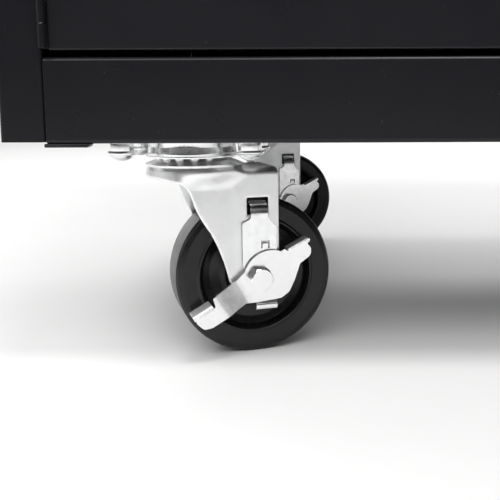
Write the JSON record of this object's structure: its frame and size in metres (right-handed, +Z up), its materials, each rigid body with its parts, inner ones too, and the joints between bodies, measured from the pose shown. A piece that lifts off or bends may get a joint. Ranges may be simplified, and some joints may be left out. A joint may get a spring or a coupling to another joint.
{
  "type": "rolling tool chest",
  "caption": "Rolling steel tool chest: drawers over a hinged-door compartment with a shelf, a side push handle, and swivel casters with side-lock brakes.",
  "frame": {"origin": "on the floor, under the middle of the whole object's box (the push handle and the pulls count)", "axes": "+Z up, the drawers and doors face -Y, +X to the right of someone facing the front, the push handle is on the +X side"},
  "size_m": [0.738, 0.496, 0.8816],
  "materials": {
    "body_paint": "satin powder coat",
    "bright_zinc": "bright zinc plate",
    "pull_aluminium": "satin anodised",
    "wheel_rubber": "smooth hard rubber",
    "mat_rubber": "ribbed",
    "catch_plastic": "moulded",
    "handle_chrome": "polished plate"
  },
  "bodies": {
    "cabinet": {"side_panel_left": "body_paint", "side_panel_right": "body_paint", "back_panel": "body_paint", "top_cap": "body_paint", "base_pan": "body_paint", "divider_panel": "body_paint", "caster_channels": "body_paint", "corner_gussets": "body_paint", "top_mat": "mat_rubber", "slide_channels": "bright_zinc", "hinge_frame_leaves": "body_paint", "hinge_pins": "bright_zinc", "door_catches": "catch_plastic", "drawer_lock_barrel": "bright_zinc", "shelf": "body_paint", "shelf_clips": "bright_zinc", "push_handle": "handle_chrome", "handle_brackets": "body_paint", "handle_screws": "bright_zinc", "caster_plates": "bright_zinc", "plate_bolts": "bright_zinc", "swivel_pins": "bright_zinc", "swivel_balls": "bright_zinc"},
    "drawer_lock": {"drawer_lock_plug": "bright_zinc"},
    "door_left": {"door_left": "body_paint", "door_pull_left": "pull_aluminium", "hinge_leaf_left": "body_paint"},
    "door_right": {"door_right": "body_paint", "door_pull_right": "pull_aluminium", "hinge_leaf_right": "body_paint"},
    "door_lock": {"door_lock_plug": "bright_zinc"},
    "drawer_1": {"drawer_1": "body_paint", "drawer_pull_1": "pull_aluminium", "drawer_runners_1": "bright_zinc"},
    "drawer_2": {"drawer_2": "body_paint", "drawer_pull_2": "pull_aluminium", "drawer_runners_2": "bright_zinc"},
    "drawer_3": {"drawer_3": "body_paint", "drawer_pull_3": "pull_aluminium", "drawer_runners_3": "bright_zinc"},
    "caster_fl": {"caster_fork_fl": "bright_zinc", "brake_spring_fl": "bright_zinc", "wheel_axle_fl": "bright_zinc"},
    "wheel_fl": {"wheel_fl": "wheel_rubber"},
    "brake_lever_fl": {"brake_lever_fl": "bright_zinc"},
    "caster_fr": {"caster_fork_fr": "bright_zinc", "brake_spring_fr": "bright_zinc", "wheel_axle_fr": "bright_zinc"},
    "wheel_fr": {"wheel_fr": "wheel_rubber"},
    "brake_lever_fr": {"brake_lever_fr": "bright_zinc"},
    "caster_rl": {"caster_fork_rl": "bright_zinc", "brake_spring_rl": "bright_zinc", "wheel_axle_rl": "bright_zinc"},
    "wheel_rl": {"wheel_rl": "wheel_rubber"},
    "brake_lever_rl": {"brake_lever_rl": "bright_zinc"},
    "caster_rr": {"caster_fork_rr": "bright_zinc", "brake_spring_rr": "bright_zinc", "wheel_axle_rr": "bright_zinc"},
    "wheel_rr": {"wheel_rr": "wheel_rubber"},
    "brake_lever_rr": {"brake_lever_rr": "bright_zinc"}
  },
  "joints": [
    {"name": "drawer_1_slide", "type": "slide", "parent": "cabinet", "child": "drawer_1", "axis": [0, -1, 0], "range_m": [0, 0.33]},
    {"name": "drawer_2_slide", "type": "slide", "parent": "cabinet", "child": "drawer_2", "axis": [0, -1, 0], "range_m": [0, 0.33]},
    {"name": "drawer_3_slide", "type": "slide", "parent": "cabinet", "child": "drawer_3", "axis": [0, -1, 0], "range_m": [0, 0.33]},
    {"name": "door_left_hinge", "type": "hinge", "parent": "cabinet", "child": "door_left", "pos_m": [-0.3423, -0.2345, 0.3621], "axis": [0, 0, -1], "range_deg": [0, 165]},
    {"name": "door_right_hinge", "type": "hinge", "parent": "cabinet", "child": "door_right", "pos_m": [0.2843, -0.2345, 0.3621], "axis": [0, 0, 1], "range_deg": [0, 165]},
    {"name": "door_lock_turn", "type": "hinge", "parent": "door_right", "child": "door_lock", "pos_m": [-0.0012, -0.232, 0.4871], "axis": [0, 1, 0], "range_deg": [0, 90]},
    {"name": "drawer_lock_turn", "type": "hinge", "parent": "cabinet", "child": "drawer_lock", "pos_m": [0.211, -0.232, 0.8536], "axis": [0, 1, 0], "range_deg": [0, 90]},
    {"name": "caster_fl_swivel", "type": "hinge", "parent": "cabinet", "child": "caster_fl", "pos_m": [-0.2724, -0.1761, 0.122], "axis": [0, 0, 1], "continuous": true},
    {"name": "wheel_fl_spin", "type": "hinge", "parent": "caster_fl", "child": "wheel_fl", "pos_m": [-0.23905, -0.16423, 0.05], "axis": [-0.3355, 0.9421, 0], "continuous": true},
    {"name": "brake_fl_lever", "type": "hinge", "parent": "caster_fl", "child": "brake_lever_fl", "pos_m": [-0.23905, -0.16423, 0.05], "axis": [-0.3355, 0.9421, 0], "range_deg": [0, 35]},
    {"name": "caster_fr_swivel", "type": "hinge", "parent": "cabinet", "child": "caster_fr", "pos_m": [0.2144, -0.1761, 0.122], "axis": [0, 0, 1], "continuous": true},
    {"name": "wheel_fr_spin", "type": "hinge", "parent": "caster_fr", "child": "wheel_fr", "pos_m": [0.24758, -0.16376, 0.05], "axis": [-0.3486, 0.9373, 0], "continuous": true},
    {"name": "brake_fr_lever", "type": "hinge", "parent": "caster_fr", "child": "brake_lever_fr", "pos_m": [0.24758, -0.16376, 0.05], "axis": [-0.3486, 0.9373, 0], "range_deg": [0, 35]},
    {"name": "caster_rl_swivel", "type": "hinge", "parent": "cabinet", "child": "caster_rl", "pos_m": [-0.2724, 0.1921, 0.122], "axis": [0, 0, 1], "continuous": true},
    {"name": "wheel_rl_spin", "type": "hinge", "parent": "caster_rl", "child": "wheel_rl", "pos_m": [-0.23883, 0.20333, 0.05], "axis": [-0.3173, 0.9483, 0], "continuous": true},
    {"name": "brake_rl_lever", "type": "hinge", "parent": "caster_rl", "child": "brake_lever_rl", "pos_m": [-0.23883, 0.20333, 0.05], "axis": [-0.3173, 0.9483, 0], "range_deg": [0, 35]},
    {"name": "caster_rr_swivel", "type": "hinge", "parent": "cabinet", "child": "caster_rr", "pos_m": [0.2144, 0.1921, 0.122], "axis": [0, 0, 1], "continuous": true},
    {"name": "wheel_rr_spin", "type": "hinge", "parent": "caster_rr", "child": "wheel_rr", "pos_m": [0.24822, 0.20257, 0.05], "axis": [-0.2957, 0.9553, 0], "continuous": true},
    {"name": "brake_rr_lever", "type": "hinge", "parent": "caster_rr", "child": "brake_lever_rr", "pos_m": [0.24822, 0.20257, 0.05], "axis": [-0.2957, 0.9553, 0], "range_deg": [0, 35]}
  ]
}
